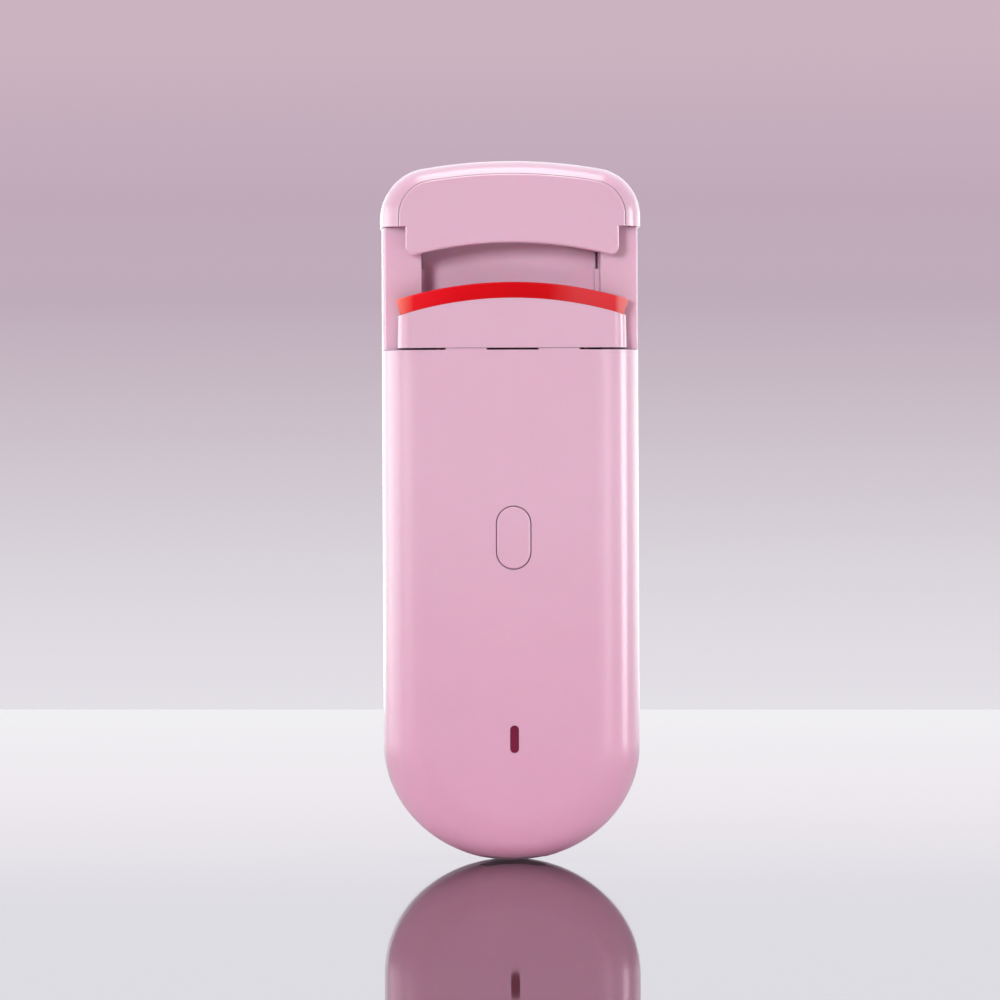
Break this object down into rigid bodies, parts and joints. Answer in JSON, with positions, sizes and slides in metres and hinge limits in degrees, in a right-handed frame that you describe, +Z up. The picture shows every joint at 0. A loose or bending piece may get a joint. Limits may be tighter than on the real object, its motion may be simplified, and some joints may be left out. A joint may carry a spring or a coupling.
{
  "type": "heated eyelash curler",
  "caption": "Cordless heated eyelash curler: rounded pink body, arched fixed upper jaw, rising lower jaw with a red silicone pad, rear press lever and front power button.",
  "frame": {"origin": "lowest point of the body's rounded end, on the body's long axis", "axes": "+Z up along the body to the jaws, -Y out of the front face with the power button, +X to the right of a viewer who faces the front"},
  "size_m": [0.0364, 0.0289, 0.0986],
  "materials": {
    "pink_shell": "satin",
    "pink_frame": "satin",
    "pink_back": "satin",
    "pink_jaw": "satin",
    "red_silicone": "translucent satin",
    "grip_silicone": "matt",
    "nylon_inner": "matt",
    "board": "solder mask",
    "chip_black": "matt",
    "lens_smoked": "polished",
    "led_white": "matt",
    "port_metal": "drawn",
    "steel": "ground",
    "spring_steel": "drawn",
    "aluminium_plate": "milled",
    "ceramic_heater": "fired",
    "insulation": "laminate",
    "cell_foil": "foil pouch",
    "foam_black": "foam",
    "lead_red": "insulation"
  },
  "bodies": {
    "housing": {"front_cover": "pink_shell", "rear_shell": "pink_shell", "head_frame": "pink_frame", "upper_hood": "pink_shell", "upper_jaw": "pink_jaw", "window_back_plate": "pink_back", "inner_chassis": "nylon_inner", "main_pcb": "board", "control_chips": "chip_black", "tact_switch": "chip_black", "led_light_pipe": "lens_smoked", "led_chip": "led_white", "usb_c_shell": "port_metal", "usb_c_tongue": "chip_black", "battery_cell": "cell_foil", "battery_foam": "foam_black", "battery_leads": "lead_red", "case_screws": "steel", "board_screws": "steel", "jaw_screws": "steel", "lever_axle": "steel", "return_spring": "spring_steel"},
    "lower_jaw_unit": {"lower_jaw": "pink_jaw", "jaw_carriage": "pink_back", "silicone_pad": "red_silicone", "heating_plate": "aluminium_plate", "ptc_heater": "ceramic_heater", "heater_insulator": "insulation", "thermistor": "chip_black", "heater_leads": "lead_red"},
    "lever_unit": {"press_lever": "pink_shell", "lever_grip": "grip_silicone", "crank_pin": "steel"},
    "button_unit": {"power_button": "pink_shell", "switch_plunger": "nylon_inner"}
  },
  "joints": [
    {"name": "lever_press", "type": "hinge", "parent": "housing", "child": "lever_unit", "pos_m": [0, 0.0056, 0.05715], "axis": [-1, 0, 0], "range_deg": [0, 26.64]},
    {"name": "jaw_slide", "type": "slide", "parent": "housing", "child": "lower_jaw_unit", "axis": [0, 0, 1], "range_m": [0, 0.0053], "stiffness_N_per_m": 400, "springref_m": -0.004, "deforming": ["return_spring"]},
    {"name": "button_press", "type": "slide", "parent": "housing", "child": "button_unit", "axis": [0, 1, 0], "range_m": [0, 0.0004], "stiffness_N_per_m": 1500, "springref_m": -0.0002}
  ],
  "couplings": [
    {"joint": "lever_press", "follows": "jaw_slide", "rad_per_m": 87.743}
  ]
}
